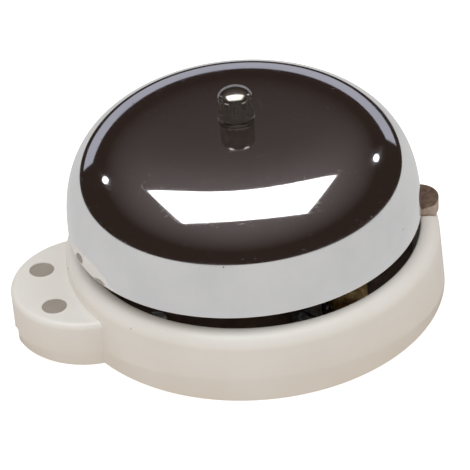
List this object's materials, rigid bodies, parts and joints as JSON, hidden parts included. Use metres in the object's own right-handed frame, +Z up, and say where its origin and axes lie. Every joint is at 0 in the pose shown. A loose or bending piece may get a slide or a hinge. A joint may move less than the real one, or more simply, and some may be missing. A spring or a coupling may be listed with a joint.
{
  "type": "service bell",
  "caption": "Under-dome electric service bell: a chromed gong on a post over a round cream base with a terminal ear, with a trembler hammer inside and a thumb-knob at the edge.",
  "frame": {"origin": "centre of the round base on its flat underside", "axes": "+Z up along the gong's post, -X towards the terminal ear, +X towards the thumb-knob"},
  "size_m": [0.0994, 0.0864, 0.0543],
  "materials": {
    "cream_moulding": "cream thermosetting moulding, satin, lightly soiled and speckled",
    "dark_laminate": "dark brown paper laminate, semi-matt",
    "chromed_gong": "bright chromium plate over pressed steel, fine scratches and small pits",
    "nickel_plate": "nickel plate, slightly dull and darkened with age",
    "bright_steel": "zinc plated steel, dull",
    "soft_iron": "machined soft iron, lightly oxidised",
    "brass": "turned and pressed brass, lightly tarnished",
    "copper_winding": "enamelled copper wire in close layers",
    "bobbin_moulding": "pale moulded bobbin",
    "red_fibre": "red vulcanised fibre",
    "brown_moulding": "dark brown thermosetting moulding, worn satin",
    "taupe_plug": "taupe moulded plug, matt",
    "felt": "green wool felt",
    "lead_red": "red wire insulation",
    "lead_black": "black wire insulation"
  },
  "bodies": {
    "base": {"base_housing": "cream_moulding", "base_plate": "dark_laminate", "mechanism_plate": "dark_laminate", "cover_screw_1": "bright_steel", "cover_screw_2": "bright_steel", "cover_screw_3": "bright_steel", "plate_screw_1": "bright_steel", "plate_screw_2": "bright_steel", "plate_screw_3": "bright_steel", "gong_post": "bright_steel", "post_nut": "bright_steel", "gong_seat_washer": "red_fibre", "gong": "chromed_gong", "gong_top_washer": "nickel_plate", "cap_nut": "nickel_plate", "magnet_yoke": "bright_steel", "yoke_screw_1": "bright_steel", "yoke_screw_2": "bright_steel", "magnet_core": "soft_iron", "core_screw": "bright_steel", "coil_bobbin": "bobbin_moulding", "coil_winding": "copper_winding", "pivot_bracket": "bright_steel", "pivot_screw": "bright_steel", "armature_pin": "bright_steel", "contact_bracket": "brass", "contact_bracket_screw": "brass", "contact_screw": "brass", "contact_lock_nut": "brass", "terminal_block": "dark_laminate", "terminal_a": "brass", "terminal_b": "brass", "terminal_screw_a": "brass", "terminal_screw_b": "brass", "hole_plug_a": "taupe_plug", "hole_plug_b": "taupe_plug", "lead_a": "lead_red", "lead_b": "lead_black", "coil_tail": "lead_red"},
    "hammer_arm": {"armature": "soft_iron", "return_spring": "bright_steel", "contact_spring": "brass", "spring_rivet": "brass", "hammer_rod": "bright_steel", "hammer_head": "brass"},
    "knob": {"loudness_knob": "brown_moulding", "knob_clip": "bright_steel", "damper_pad": "felt"}
  },
  "joints": [
    {"name": "hammer_swing", "type": "hinge", "parent": "base", "child": "hammer_arm", "pos_m": [0.005, -0.022, 0.0181], "axis": [0, 0, 1], "range_deg": [0, 4.5], "stiffness_Nm_per_rad": 0.02, "springref_deg": -5.73},
    {"name": "knob_turn", "type": "hinge", "parent": "base", "child": "knob", "pos_m": [0.03811, -0.0038, 0.0168], "axis": [0, 0, 1], "range_deg": [0, 40]}
  ]
}
